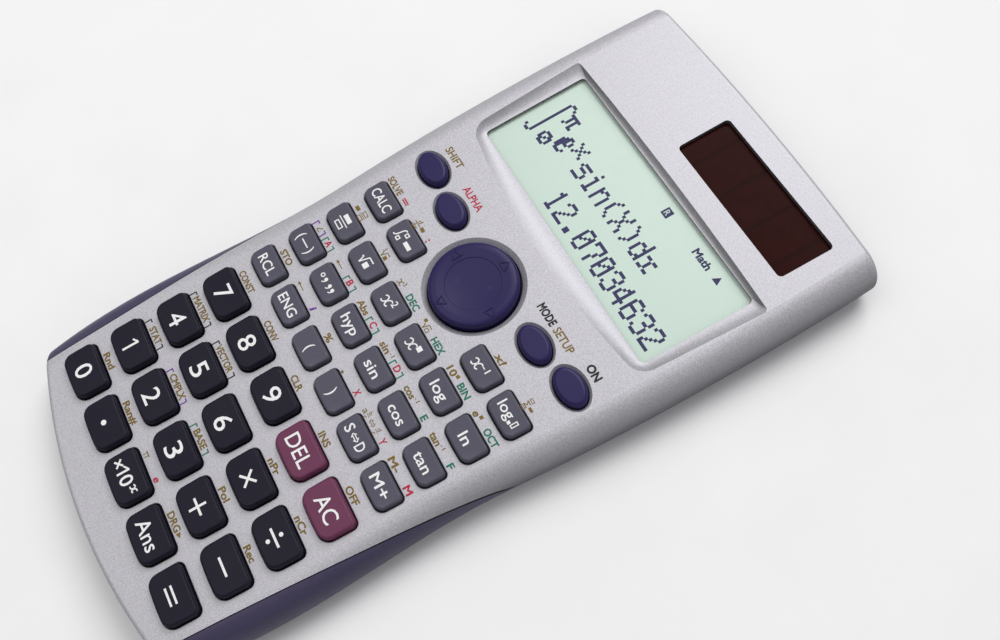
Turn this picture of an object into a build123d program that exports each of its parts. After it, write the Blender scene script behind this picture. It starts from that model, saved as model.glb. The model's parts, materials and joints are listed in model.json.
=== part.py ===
from build123d import *
import os

# Pocket scientific calculator lying on its back.
# Millimetres. +X runs to the user's right, +Y towards the display end, +Z out of the keys.
# The origin is on the desk, under the middle of the case.

# ---------------------------------------------------------------- case size
case_length = 161.0
case_end = case_length / 2

# heights above the desk, from the bottom up
foot_height = 0.8  # bottom of the rear case
floor_top = 2.2
seam_height = 5.4  # where front and rear case meet
board_bottom = 4.4
board_top = 5.4
sheet_top = 5.9
dome_top = 7.2
flange_bottom = 7.9
flange_top = 8.8
shell_under = 9.0  # underside of the front case's face
face_height = 10.5  # the front case's face

# ---------------------------------------------------------------- case outline
# half widths of the case along its length, (x, y), from the display end to the foot end
side_points = [(38.9, 79.2), (40.0, 44.0), (39.2, 8.0), (38.4, -8.0), (39.85, -44.0), (38.1, -74.6)]
# half widths of the front case where the rear case shows beside it
front_side_points = [(42.0, 16.0), (38.5, -1.5), (36.2, -32.0), (34.9, -56.0), (34.1, -76.0)]
shoulder_radius = 5.5
rear_radius = 4.0
end_radius = 1.1
case_gap = 0.2  # groove between the two shells

# half widths of the hollow in the front case, next to the seam and next to the face
low_hollow = [(37.4, 77.4), (38.1, 8.0), (36.6, -8.0), (34.9, -32.0), (33.6, -56.0), (33.0, -74.4)]
high_hollow = [(36.0, 77.4), (36.2, 8.0), (34.9, -8.0), (34.4, -32.0), (33.5, -56.0), (33.0, -74.4)]
high_hollow_bottom = 7.2
rear_hollow = [(37.0, 77.4), (37.4, 8.0), (36.4, -8.0), (37.4, -44.0), (36.2, -72.6)]
hollow_foot_sag = 3.2  # how far the hollow's foot end bulges past its corners

# ---------------------------------------------------------------- display and solar cell
# display opening and the rim of the recess around it: half width at the display end and at the
# foot end, y of both ends, bulge of both ends, corner radius of both ends
window = (31.0, 31.0, 56.5, 32.0, 0.05, 0.05, 1.0, 1.0)
recess_rim = (34.3, 33.2, 57.2, 30.0, 0.7, 3.0, 0.9, 4.2)
recess_steps = (0.0, 0.3, 0.65, 1.0)  # shares of the way from the rim to the window
window_depth = 1.2  # the pane's face lies this far below the case's face
pane_gap = 0.08
pane_edge = 0.1
lens_margin = 2.0
lens_flange = 0.5
lens_corner = 1.0
panel_gap = 0.1
panel_thickness = 1.5
panel_corner = 0.5

solar_place = (12.5, 68.7)
solar_opening = (34.6, 12.0)
solar_depth = 1.0
solar_margin = 0.6
solar_thickness = 1.1
solar_corner = 1.0
solar_gap = 0.1  # between the cell and its bed, all round
solar_edge = 0.15

# ---------------------------------------------------------------- keys
small_key = (9.1, 5.85)
small_pitch = (10.96, 9.3)
small_first_row = 4.95
small_rise = 1.25  # how far a key stands out of the face
small_rounding = 0.45  # of the edge round its top
large_key = (11.3, 7.85)
large_pitch = (13.16, 11.29)
large_first_row = -33.9
large_rise = 1.7
large_rounding = 0.55
oval_key = (9.1, 5.95)
oval_rise = 1.3
oval_rounding = 0.9
oval_recess = (0.5, 0.45)  # how far the rim round an oval key is wider, and how deep it goes
# shape of a key: lean of its sides as a share of its width, then the bow of its foot edge and the
# radius of its top and foot corners as shares of its height
side_lean = 0.012
foot_bow = 0.035
top_corner = 0.17
foot_corner = 0.31
key_clearance = 0.15
key_lean = 0.18  # how far each side of a key leans in from its flange to its top
flange_width = 0.7
plunger_radius = 1.5
hole_chamfer = 0.15

small_rows = [
    ["calc_key", "integral_key", None, None, "reciprocal_key", "log_base_key"],
    ["fraction_key", "root_key", "square_key", "power_key", "log_key", "ln_key"],
    ["negative_key", "degree_key", "hyp_key", "sin_key", "cos_key", "tan_key"],
    ["recall_key", "eng_key", "open_bracket_key", "close_bracket_key", "sd_key", "m_plus_key"],
]
large_rows = [
    ["digit_7_key", "digit_8_key", "digit_9_key", "delete_key", "clear_key"],
    ["digit_4_key", "digit_5_key", "digit_6_key", "multiply_key", "divide_key"],
    ["digit_1_key", "digit_2_key", "digit_3_key", "plus_key", "minus_key"],
    ["digit_0_key", "point_key", "exponent_key", "answer_key", "equals_key"],
]
oval_places = {
    "shift_key": (-28.5, 17.9),
    "alpha_key": (-17.45, 16.45),
    "mode_key": (17.45, 16.45),
    "on_key": (28.5, 17.9),
}

# ---------------------------------------------------------------- rocker pad
pad_y = 12.3
pad_radius = 9.4
pad_hole_radius = 9.85
pad_recess_radius = 10.9
pad_recess_depth = 0.8
pad_flange_radius = 10.6
pad_flange = (7.4, 8.1)  # heights of its bottom and top
pad_shoulder_height = 10.9
pad_crest = (7.6, 12.0)  # radius and height of the pad's highest ring
pad_dish = (5.9, 11.8)
pad_dish_step = 0.12
pad_dish_depth = 0.35
pad_dish_slope = 0.12  # of the dish next to its step
pad_dome_radius = 6.5  # from the pad's middle to each dome
pivot_radius = 1.7
pivot_stem = (5.7, 9.4)  # heights of the stem's two ends
socket_radius = 2.1
socket_top = 9.6

# ---------------------------------------------------------------- inside
board_half_width = 31.0
board_y = (-71.6, 58.5)
board_corner = 1.0
sheet_end_y = 24.0
chip_cover = (7.0, 1.2)  # radius and height of the resin drop over the chip
chip_rounding = 0.95
chip_place = (13.0, -15.0)
board_post_radius = 1.2
board_post_grid = (26.0, 31.0, 3, 4)
board_post_y = -15.5
dome_base_radius = 2.4
dome_tip_radius = 1.5
dome_wall = 0.4
pivot_hole_radius = 2.3

battery_place = (-20.0, 66.0)
battery_radius = 5.8
battery_thickness = 5.4
battery_bottom = 2.5
battery_gap = 0.15
battery_rounding = 0.4
battery_step = (0.8, 0.5)  # slope down to the narrower pole
battery_ring = (6.9, 7.0)  # radius of its outside, height of its top
cover_size = (18.0, 20.4)
cover_place = (-20.0, 67.4)
cover_thickness = 1.6
cover_gap = 0.15
cover_corner = 2.0
cover_bed = 1.0  # thickness of the case above the cover
cover_top = foot_height + cover_thickness
tongue = (8.0, 1.2, 0.9)  # width, reach past the cover's edge, thickness
tongue_place = (cover_place[0], cover_place[1] - cover_size[1] / 2)
strip = 0.2  # thickness of the contact strips
strip_width = 3.0
strip_reach = (2.0, 3.0)  # how far it lies on the battery and on the board
strip_gap = 0.4  # from the board's end to the strip's upright

# ---------------------------------------------------------------- fasteners and feet
case_screw_places = [(33.4, 74.4), (33.8, -28.0), (20.0, -74.6)]
case_screw_places += [(-x, y) for x, y in case_screw_places]
cover_screw_place = (-20.0, 75.2)
screw_head = (1.8, 1.0)  # radius, height
screw_shank = (0.95, 5.0)
screw_sunk = 0.1  # the head lies this far inside the case
screw_rounding = 0.3
screw_tip = foot_height + screw_sunk + screw_head[1] + screw_shank[1]
head_hole = 1.95
shank_hole = 1.05
post_radius = 2.5
boss_radius = 1.7
boss_bottom = 3.4
slot = (2.2, 0.5)  # length and width of each slot of the cross, as deep as it is wide
foot_radius = 4.0
foot_sunk = 0.4
foot_rounding = 0.4
foot_places = [(30.0, 46.0), (-30.0, 46.0), (30.0, -60.0), (-30.0, -60.0)]


# ---------------------------------------------------------------- shared outlines
def mirrored(points):
    return [(-x, y) for x, y in points]


def case_outline():
    """The case seen from above: waisted sides between two arched ends."""
    top_x, top_y = side_points[0]
    foot_x, foot_y = side_points[-1]
    with BuildSketch() as outline:
        with BuildLine():
            Spline(side_points)
            ThreePointArc((foot_x, foot_y), (0, -case_end), (-foot_x, foot_y))
            Spline(mirrored(side_points)[::-1])
            ThreePointArc((-top_x, top_y), (0, case_end), (top_x, top_y))
        make_face()
    return outline.sketch


def front_outline(grow=0.0):
    """What the front case covers seen from above, a little past the case at both ends."""
    points = [(x + grow, y) for x, y in front_side_points]
    top_x = points[0][0]
    foot_x = points[-1][0]
    with BuildSketch() as outline:
        with BuildLine():
            Spline(points)
            Polyline(points[-1], (foot_x, -case_length), (-foot_x, -case_length), mirrored(points)[-1])
            Spline(mirrored(points)[::-1])
            Polyline(mirrored(points)[0], (-top_x, case_length), (top_x, case_length), points[0])
        make_face()
    return outline.sketch


def hollow_outline(points):
    """A shell's hollow seen from above: straight flanks and a bulging foot end."""
    foot_x, foot_y = points[-1]
    with BuildSketch() as outline:
        with BuildLine():
            Polyline(points)
            ThreePointArc((foot_x, foot_y), (0, foot_y - hollow_foot_sag), (-foot_x, foot_y))
            Polyline(mirrored(points)[::-1])
            Line(mirrored(points)[0], points[0])
        make_face()
    return outline.sketch


def key_outline(size):
    """Flat top edge, sides leaning in a little, and a bowed foot edge with rounder corners."""
    half_width = size[0] / 2
    half_height = size[1] / 2
    lean = size[0] * side_lean
    foot = -half_height + size[1] * foot_bow
    with BuildSketch() as outline:
        with BuildLine():
            Line((-half_width, half_height), (half_width, half_height))
            Line((half_width, half_height), (half_width - lean, foot))
            ThreePointArc((half_width - lean, foot), (0, -half_height), (lean - half_width, foot))
            Line((lean - half_width, foot), (-half_width, half_height))
        make_face()
        fillet(outline.vertices().group_by(Axis.Y)[-1], size[1] * top_corner)
        fillet(outline.vertices().group_by(Axis.Y)[0], size[1] * foot_corner)
    return outline.sketch


def oval_outline(size):
    with BuildSketch() as outline:
        Ellipse(size[0] / 2, size[1] / 2)
    return outline.sketch


def recess_outline(share):
    """The display recess at one level, from its rim (share 0) to the window (share 1)."""
    values = [rim + share * (pane - rim) for rim, pane in zip(recess_rim, window)]
    half_top, half_foot, top, foot, top_bulge, foot_bulge, top_radius, foot_radius = values
    with BuildSketch() as outline:
        with BuildLine():
            ThreePointArc((-half_top, top), (0, top + top_bulge), (half_top, top))
            Line((half_top, top), (half_foot, foot))
            ThreePointArc((half_foot, foot), (0, foot - foot_bulge), (-half_foot, foot))
            Line((-half_foot, foot), (-half_top, top))
        make_face()
        fillet(outline.vertices().group_by(Axis.Y)[-1], top_radius)
        fillet(outline.vertices().group_by(Axis.Y)[0], foot_radius)
    return outline.sketch


def save(builder, name):
    builder.part.label = name
    export_step(builder.part, f"parts/{name}.step")


os.makedirs("parts", exist_ok=True)

# ---------------------------------------------------------------- where every key goes
# name, outline, size of the outline, place, height of its top, rounding of its top edge
keys = []
for row, names in enumerate(small_rows):
    for column, name in enumerate(names):
        if name:
            place = ((column - 2.5) * small_pitch[0], small_first_row - row * small_pitch[1])
            keys.append((name, key_outline, small_key, place, face_height + small_rise, small_rounding))
for row, names in enumerate(large_rows):
    for column, name in enumerate(names):
        place = ((column - 2) * large_pitch[0], large_first_row - row * large_pitch[1])
        keys.append((name, key_outline, large_key, place, face_height + large_rise, large_rounding))
for name, place in oval_places.items():
    keys.append((name, oval_outline, oval_key, place, face_height + oval_rise, oval_rounding))
key_places = [place for name, outline, size, place, top, rounding in keys]

pad_dome_places = [(pad_dome_radius, pad_y), (-pad_dome_radius, pad_y)]
pad_dome_places += [(0, pad_y + pad_dome_radius), (0, pad_y - pad_dome_radius)]

# ---------------------------------------------------------------- the whole case as one block
with BuildPart() as envelope:
    with BuildSketch(Plane.XY.offset(foot_height)):
        add(case_outline())
    extrude(amount=face_height - foot_height)
    sides = envelope.faces().filter_by(GeomType.PLANE, reverse=True).sort_by(Axis.X)
    flanks = [sides[0], sides[-1]]
    fillet([flank.edges().sort_by(Axis.Z)[-1] for flank in flanks], shoulder_radius)
    fillet(envelope.faces().sort_by(Axis.Z)[0].edges().sort_by(Axis.X)[0], rear_radius)
    fillet(envelope.faces().sort_by(Axis.Z)[0].edges().sort_by(Axis.X)[-1], rear_radius)
    fillet(envelope.faces().sort_by(Axis.Y)[-1].edges(), end_radius)
    fillet(envelope.faces().sort_by(Axis.Y)[0].edges(), end_radius)

# ---------------------------------------------------------------- front case
with BuildPart() as front_case:
    add(envelope.part)
    with BuildSketch(Plane.XY.offset(seam_height)):
        add(front_outline())
    extrude(amount=case_length, mode=Mode.INTERSECT)

    # hollow: wide next to the seam, narrower under the rounded shoulders
    with BuildSketch(Plane.XY.offset(seam_height)):
        add(hollow_outline(low_hollow))
    extrude(amount=high_hollow_bottom - seam_height, mode=Mode.SUBTRACT)
    with BuildSketch(Plane.XY.offset(high_hollow_bottom)):
        add(hollow_outline(high_hollow))
    extrude(amount=shell_under - high_hollow_bottom, mode=Mode.SUBTRACT)

    # screw bosses hang from the face
    with BuildSketch(Plane.XY.offset(boss_bottom)):
        with Locations(*case_screw_places):
            Circle(boss_radius)
    extrude(amount=shell_under - boss_bottom)
    with BuildSketch(Plane.XY.offset(boss_bottom)):
        with Locations(*case_screw_places):
            Circle(screw_shank[0])
    extrude(amount=screw_tip - boss_bottom, mode=Mode.SUBTRACT)

    # key holes, each with a fine chamfer, and a wider rim round the oval keys
    for name, outline, size, place, top, rounding in keys:
        with BuildSketch(Plane((*place, shell_under))):
            add(outline([side + 2 * key_clearance for side in size]))
        extrude(amount=face_height - shell_under, mode=Mode.SUBTRACT)
    face = front_case.faces().filter_by(Axis.Z).sort_by(Axis.Z)[-1]
    chamfer(face.inner_wires().edges(), hole_chamfer)
    for place in oval_places.values():
        with BuildSketch(Plane((*place, face_height))):
            add(oval_outline([side + 2 * (key_clearance + oval_recess[0]) for side in oval_key]))
        with BuildSketch(Plane((*place, face_height - oval_recess[1]))):
            add(oval_outline([side + 2 * key_clearance for side in oval_key]))
        loft(mode=Mode.SUBTRACT)

    # hole for the pad in a sloping ring
    with Locations((0, pad_y, shell_under)):
        Hole(pad_hole_radius, depth=case_length)
    with Locations((0, pad_y, face_height)):
        Cone(
            pad_hole_radius,
            pad_recess_radius,
            pad_recess_depth,
            align=(Align.CENTER, Align.CENTER, Align.MAX),
            mode=Mode.SUBTRACT,
        )

    # display recess, steep at its rim and flatter towards the window
    for share in recess_steps:
        level = face_height - window_depth * (1 - (1 - share) ** 2)
        with BuildSketch(Plane.XY.offset(level)):
            add(recess_outline(share))
    loft(mode=Mode.SUBTRACT)
    with BuildSketch(Plane.XY.offset(shell_under)):
        add(recess_outline(1.0))
    extrude(amount=face_height - shell_under, mode=Mode.SUBTRACT)

    # opening for the solar cell, with a bed for it on the inside
    with BuildSketch(Plane((*solar_place, shell_under))):
        RectangleRounded(*solar_opening, solar_corner)
    extrude(amount=face_height - shell_under, mode=Mode.SUBTRACT)
    with BuildSketch(Plane((*solar_place, shell_under))):
        RectangleRounded(*[side + 2 * solar_margin for side in solar_opening], solar_corner)
    extrude(amount=face_height - solar_depth - shell_under, mode=Mode.SUBTRACT)

save(front_case, "front_case")

# ---------------------------------------------------------------- rear case
battery_bed_top = cover_top + cover_bed
with BuildPart() as rear_case:
    add(envelope.part)
    with BuildSketch(Plane.XY.offset(seam_height)):
        add(front_outline(case_gap))
    extrude(amount=case_length, mode=Mode.SUBTRACT)
    with BuildSketch(Plane.XY.offset(floor_top)):
        add(hollow_outline(rear_hollow))
    extrude(amount=seam_height - floor_top, mode=Mode.SUBTRACT)

    # posts for the screws and under the board
    with BuildSketch(Plane.XY.offset(floor_top)):
        with Locations(*case_screw_places):
            Circle(post_radius)
    extrude(amount=boss_bottom - floor_top)
    with BuildSketch(Plane.XY.offset(boss_bottom)):
        with Locations(*case_screw_places):
            Circle(boss_radius + case_gap)
    extrude(amount=seam_height - boss_bottom, mode=Mode.SUBTRACT)
    with BuildSketch(Plane((0, board_post_y, floor_top))):
        with GridLocations(*board_post_grid):
            Circle(board_post_radius)
    extrude(amount=board_bottom - floor_top)

    # bed for the battery and its cover, the ring round the battery, the cover screw's boss
    with BuildSketch(Plane((*cover_place, floor_top))):
        Rectangle(*[side + 2 * cover_bed for side in cover_size])
    extrude(amount=battery_bed_top - floor_top)
    with BuildSketch(Plane.XY.offset(battery_bed_top)):
        with Locations(battery_place):
            Circle(battery_ring[0])
        with Locations(cover_screw_place):
            Circle(boss_radius)
    extrude(amount=battery_ring[1] - battery_bed_top)
    with BuildSketch(Plane((*cover_place, foot_height))):
        RectangleRounded(*cover_size, cover_corner)
    extrude(amount=cover_thickness, mode=Mode.SUBTRACT)
    with BuildSketch(Plane((*tongue_place, cover_top))):
        Rectangle(tongue[0] + 2 * cover_gap, 2 * (tongue[1] + cover_gap))
    extrude(amount=-tongue[2] - cover_gap, mode=Mode.SUBTRACT)
    with BuildSketch(Plane.XY.offset(foot_height)):
        with Locations(battery_place):
            Circle(battery_radius + battery_gap)
        with Locations(cover_screw_place):
            Circle(screw_shank[0])
    extrude(amount=case_length, mode=Mode.SUBTRACT)

    # screw holes and the beds of the feet, from below
    with BuildSketch(Plane.XY.offset(foot_height)):
        with Locations(*case_screw_places):
            Circle(head_hole)
    extrude(amount=screw_head[1] + screw_sunk, mode=Mode.SUBTRACT)
    with BuildSketch(Plane.XY.offset(foot_height)):
        with Locations(*case_screw_places):
            Circle(shank_hole)
    extrude(amount=boss_bottom - foot_height, mode=Mode.SUBTRACT)
    with BuildSketch(Plane.XY.offset(foot_height)):
        with Locations(*foot_places):
            Circle(foot_radius)
    extrude(amount=foot_sunk, mode=Mode.SUBTRACT)

save(rear_case, "rear_case")

# ---------------------------------------------------------------- display
window_half = window[0]
window_size = (2 * window_half, window[2] - window[3])
window_middle = (0, (window[2] + window[3]) / 2)
with BuildPart() as display_window:
    with BuildSketch(Plane.XY.offset(shell_under)):
        add(recess_outline(1.0))
        offset(amount=-pane_gap)
    extrude(amount=face_height - window_depth - pane_gap - shell_under)
    with BuildSketch(Plane((*window_middle, shell_under))):
        RectangleRounded(*[side + 2 * lens_margin for side in window_size], lens_corner)
    extrude(amount=-lens_flange)
    fillet(display_window.faces().sort_by(Axis.Z)[-1].edges(), pane_edge)

save(display_window, "display_window")

panel_top = shell_under - lens_flange - panel_gap
with BuildPart() as lcd_panel:
    with BuildSketch(Plane((*window_middle, panel_top))):
        RectangleRounded(*[side + lens_margin for side in window_size], panel_corner)
    extrude(amount=-panel_thickness)
    chamfer(lcd_panel.edges().group_by(Axis.Z)[-1], pane_edge)

save(lcd_panel, "lcd_panel")

# ---------------------------------------------------------------- solar cell
cell_margin = solar_margin - solar_gap
with BuildPart() as solar_cell:
    with BuildSketch(Plane((*solar_place, face_height - solar_depth))):
        RectangleRounded(*[side + 2 * cell_margin for side in solar_opening], solar_corner - solar_gap)
    extrude(amount=-solar_thickness)
    chamfer(solar_cell.edges().group_by(Axis.Z)[0], solar_edge)

save(solar_cell, "solar_cell")

# ---------------------------------------------------------------- circuit board and dome sheet
board_middle = (0, sum(board_y) / 2)
with BuildPart() as main_board:
    with BuildSketch(Plane((*board_middle, board_bottom))):
        RectangleRounded(2 * board_half_width, board_y[1] - board_y[0], board_corner)
    extrude(amount=board_top - board_bottom)
    with BuildSketch(Plane((*chip_place, board_bottom))):
        Circle(chip_cover[0])
    extrude(amount=-chip_cover[1])
    fillet(main_board.faces().sort_by(Axis.Z)[0].edges(), chip_rounding)

save(main_board, "main_board")

with BuildPart() as dome_sheet:
    with BuildSketch(Plane((0, (board_y[0] + sheet_end_y) / 2, board_top))):
        RectangleRounded(2 * board_half_width, sheet_end_y - board_y[0], board_corner)
    extrude(amount=sheet_top - board_top)
    with Locations(*[(x, y, sheet_top) for x, y in key_places + pad_dome_places]):
        Cone(
            dome_base_radius,
            dome_tip_radius,
            dome_top - sheet_top,
            align=(Align.CENTER, Align.CENTER, Align.MIN),
        )
    with Locations(*[(x, y, board_top) for x, y in key_places + pad_dome_places]):
        Cone(
            dome_base_radius - dome_wall / 2,
            dome_tip_radius - dome_wall,
            dome_top - dome_wall - board_top,
            align=(Align.CENTER, Align.CENTER, Align.MIN),
            mode=Mode.SUBTRACT,
        )
    with BuildSketch(Plane((0, pad_y, board_top))):
        Circle(pivot_hole_radius)
    extrude(amount=sheet_top - board_top, mode=Mode.SUBTRACT)

save(dome_sheet, "dome_sheet")

# ---------------------------------------------------------------- keys
for name, outline, size, place, top, rounding in keys:
    with BuildPart() as key:
        with BuildSketch(Plane((*place, flange_top))):
            add(outline(size))
        with BuildSketch(Plane((*place, top))):
            add(outline([side - 2 * key_lean for side in size]))
        loft()
        fillet(key.faces().sort_by(Axis.Z)[-1].edges(), rounding)
        with BuildSketch(Plane((*place, flange_bottom))):
            add(outline([side + 2 * flange_width for side in size]))
        extrude(amount=flange_top - flange_bottom)
        with BuildSketch(Plane((*place, dome_top))):
            Circle(plunger_radius)
        extrude(amount=flange_bottom - dome_top)
    save(key, name)

# ---------------------------------------------------------------- rocker pad
pad_axis = Axis((0, pad_y, 0), (0, 0, 1))
dish_edge = (pad_dish[0] - pad_dish_step, pad_dish[1] - pad_dish_step)
dish_middle = (0, dish_edge[1] - pad_dish_depth)
with BuildPart() as rocker_pad:
    with BuildSketch(Plane.XZ.offset(-pad_y)):
        with BuildLine():
            Polyline(
                (0, socket_top),
                (socket_radius, socket_top),
                (socket_radius, pad_flange[0]),
                (pad_flange_radius, pad_flange[0]),
                (pad_flange_radius, pad_flange[1]),
                (pad_radius, pad_flange[1]),
                (pad_radius, pad_shoulder_height),
            )
            Spline((pad_radius, pad_shoulder_height), pad_crest, tangents=((0, 1), (-1, 0)))
            Polyline(pad_crest, pad_dish, dish_edge)
            Spline(dish_edge, dish_middle, tangents=((-1, -pad_dish_slope), (-1, 0)))
            Line(dish_middle, (0, socket_top))
        make_face()
    revolve(axis=pad_axis)
    with BuildSketch(Plane.XY.offset(dome_top)):
        with Locations(*pad_dome_places):
            Circle(plunger_radius)
    extrude(amount=pad_flange[0] - dome_top)

save(rocker_pad, "rocker_pad")

with BuildPart() as pad_pivot:
    with BuildSketch(Plane((0, pad_y, pivot_stem[0]))):
        Circle(pivot_radius)
    extrude(amount=pivot_stem[1] - pivot_stem[0])
    fillet(pad_pivot.edges().group_by(Axis.Z)[-1], pivot_radius / 2)

save(pad_pivot, "pad_pivot")

# ---------------------------------------------------------------- battery, contacts and cover
with BuildPart() as battery_cell:
    with BuildSketch(Plane((*battery_place, battery_bottom))):
        Circle(battery_radius)
    extrude(amount=battery_thickness)
    fillet(battery_cell.edges().group_by(Axis.Z)[0], battery_rounding)
    chamfer(battery_cell.edges().group_by(Axis.Z)[-1], *battery_step)

save(battery_cell, "battery_cell")

battery_top = battery_bottom + battery_thickness
strip_start = battery_place[1] + strip_reach[0]
strip_upright = board_y[1] - strip_gap
strip_end = board_y[1] - strip_reach[1]
with BuildPart() as battery_contacts:
    with BuildSketch(Plane.YZ.offset(battery_place[0] - strip_width / 2)):
        with BuildLine():
            Polyline(
                (strip_start, battery_top),
                (strip_upright, battery_top),
                (strip_upright, board_top),
                (strip_end, board_top),
                (strip_end, board_top + strip),
                (strip_upright - strip, board_top + strip),
                (strip_upright - strip, battery_top + strip),
                (strip_start, battery_top + strip),
                close=True,
            )
        make_face()
    extrude(amount=strip_width)

save(battery_contacts, "battery_contacts")

with BuildPart() as battery_cover:
    with BuildSketch(Plane((*cover_place, foot_height))):
        RectangleRounded(*[side - 2 * cover_gap for side in cover_size], cover_corner - cover_gap)
    extrude(amount=cover_thickness)
    with BuildSketch(Plane((*tongue_place, cover_top - cover_gap))):
        Rectangle(tongue[0], 2 * tongue[1])
    extrude(amount=-tongue[2])
    with BuildSketch(Plane((*cover_screw_place, foot_height))):
        Circle(head_hole)
    extrude(amount=screw_head[1] + screw_sunk, mode=Mode.SUBTRACT)
    with BuildSketch(Plane((*cover_screw_place, foot_height))):
        Circle(shank_hole)
    extrude(amount=cover_thickness, mode=Mode.SUBTRACT)

save(battery_cover, "battery_cover")

# ---------------------------------------------------------------- screws and feet
screw_bottom = foot_height + screw_sunk
with BuildPart() as case_screws:
    with BuildSketch(Plane.XY.offset(screw_bottom)):
        with Locations(*case_screw_places, cover_screw_place):
            Circle(screw_head[0])
    extrude(amount=screw_head[1])
    fillet(case_screws.edges().group_by(Axis.Z)[0], screw_rounding)
    with BuildSketch(Plane.XY.offset(screw_bottom + screw_head[1])):
        with Locations(*case_screw_places, cover_screw_place):
            Circle(screw_shank[0])
    extrude(amount=screw_shank[1])
    with BuildSketch(Plane.XY.offset(screw_bottom)):
        with Locations(*case_screw_places, cover_screw_place):
            Rectangle(*slot)
            Rectangle(*slot[::-1])
    extrude(amount=slot[1], mode=Mode.SUBTRACT)

save(case_screws, "case_screws")

with BuildPart() as rubber_feet:
    with BuildSketch(Plane.XY):
        with Locations(*foot_places):
            Circle(foot_radius)
    extrude(amount=foot_height + foot_sunk)
    fillet(rubber_feet.edges().group_by(Axis.Z)[0], foot_rounding)

save(rubber_feet, "rubber_feet")
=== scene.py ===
import json
import math

import bmesh
import bpy
from mathutils import Matrix, Vector


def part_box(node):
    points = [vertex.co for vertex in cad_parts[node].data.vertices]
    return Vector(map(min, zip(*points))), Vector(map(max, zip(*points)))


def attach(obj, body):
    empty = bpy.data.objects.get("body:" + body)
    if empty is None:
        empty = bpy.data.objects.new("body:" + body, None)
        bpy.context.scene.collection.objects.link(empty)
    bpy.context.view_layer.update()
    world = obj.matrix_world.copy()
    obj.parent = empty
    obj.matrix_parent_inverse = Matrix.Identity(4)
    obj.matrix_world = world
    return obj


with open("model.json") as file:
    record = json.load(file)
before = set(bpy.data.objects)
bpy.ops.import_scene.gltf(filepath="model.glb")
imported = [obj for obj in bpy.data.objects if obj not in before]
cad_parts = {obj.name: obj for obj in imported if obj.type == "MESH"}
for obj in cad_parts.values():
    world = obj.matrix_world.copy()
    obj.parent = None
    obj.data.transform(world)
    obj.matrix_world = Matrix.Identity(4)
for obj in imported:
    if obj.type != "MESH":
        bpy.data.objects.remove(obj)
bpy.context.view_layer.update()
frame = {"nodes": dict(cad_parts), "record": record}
nodes = frame["nodes"]
body_of = {node: body for body, names in frame["record"]["behaviour"]["bodies"].items() for node in names}

MM = 0.001
INK_THICKNESS = 0.02 * MM
INK_SUNK = 0.012 * MM  # how far printing reaches into the surface under it
KEY_FLANGE = 0.7  # millimetres that a key's hidden flange stands out beyond its cap
DOT_PITCH = (0.603, 0.65)  # millimetres across and up, on the display
SOLAR_STRIPS = 4

# colours are linear
COLOURS = {
    "silver": (0.50, 0.49, 0.525),
    "violet": (0.050, 0.041, 0.090),
    "slate": (0.080, 0.078, 0.110),
    "night": (0.010, 0.009, 0.020),
    "plum": (0.140, 0.030, 0.080),
    "indigo": (0.022, 0.016, 0.085),
    "natural": (0.50, 0.50, 0.48),
    "board": (0.04, 0.17, 0.07),
    "silicone": (0.60, 0.60, 0.57),
    "black_rubber": (0.020, 0.020, 0.022),
    "steel": (0.70, 0.70, 0.70),
    "nickel": (0.75, 0.72, 0.66),
    "black_steel": (0.09, 0.09, 0.10),
    "pane": (0.50, 0.52, 0.51),
    "floor": (0.93, 0.93, 0.935),
}
INKS = {
    "white": (0.93, 0.93, 0.93),
    "gold": (0.215, 0.135, 0.018),
    "red": (0.50, 0.018, 0.055),
    "green": (0.008, 0.18, 0.11),
    "purple": (0.17, 0.045, 0.33),
    "black": (0.012, 0.012, 0.014),
    "display": (0.010, 0.007, 0.10),
    "pale": (0.60, 0.745, 0.655),
}

# ------------------------------------------------------------------ materials


def shade(colour, share):
    """A colour made lighter or darker by a share of itself."""
    return [min(1.0, channel * share) for channel in colour]


def new_material(name):
    material = bpy.data.materials.new(name)
    material.use_nodes = True
    tree = material.node_tree
    return material, tree, tree.nodes["Principled BSDF"]


def coordinates(tree):
    return tree.nodes.new("ShaderNodeTexCoord").outputs["Object"]


def noise(tree, scale, detail=3.0, roughness=0.55):
    """Noise with scale lumps to the metre."""
    node = tree.nodes.new("ShaderNodeTexNoise")
    node.inputs["Scale"].default_value = scale
    node.inputs["Detail"].default_value = detail
    node.inputs["Roughness"].default_value = roughness
    tree.links.new(coordinates(tree), node.inputs["Vector"])
    return node.outputs["Fac"]


def mapped(tree, value, low, high, start=0.3, end=0.7):
    """A value between start and end, stretched to run from low to high."""
    node = tree.nodes.new("ShaderNodeMapRange")
    node.inputs["From Min"].default_value = start
    node.inputs["From Max"].default_value = end
    node.inputs["To Min"].default_value = low
    node.inputs["To Max"].default_value = high
    tree.links.new(value, node.inputs["Value"])
    return node.outputs["Result"]


def blended(tree, factor, low, high):
    """A mix of two colours. Each of the three values is a constant or another node's output."""
    node = tree.nodes.new("ShaderNodeMix")
    node.data_type = "RGBA"
    for socket, colour in ((node.inputs[6], low), (node.inputs[7], high)):
        if isinstance(colour, bpy.types.NodeSocket):
            tree.links.new(colour, socket)
        else:
            socket.default_value = (*colour, 1.0)
    if isinstance(factor, bpy.types.NodeSocket):
        tree.links.new(factor, node.inputs[0])
    else:
        node.inputs[0].default_value = factor
    return node.outputs[2]


def bump(tree, shader, height, strength, distance):
    node = tree.nodes.new("ShaderNodeBump")
    node.inputs["Strength"].default_value = strength
    node.inputs["Distance"].default_value = distance
    tree.links.new(height, node.inputs["Height"])
    tree.links.new(node.outputs["Normal"], shader.inputs["Normal"])


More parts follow.
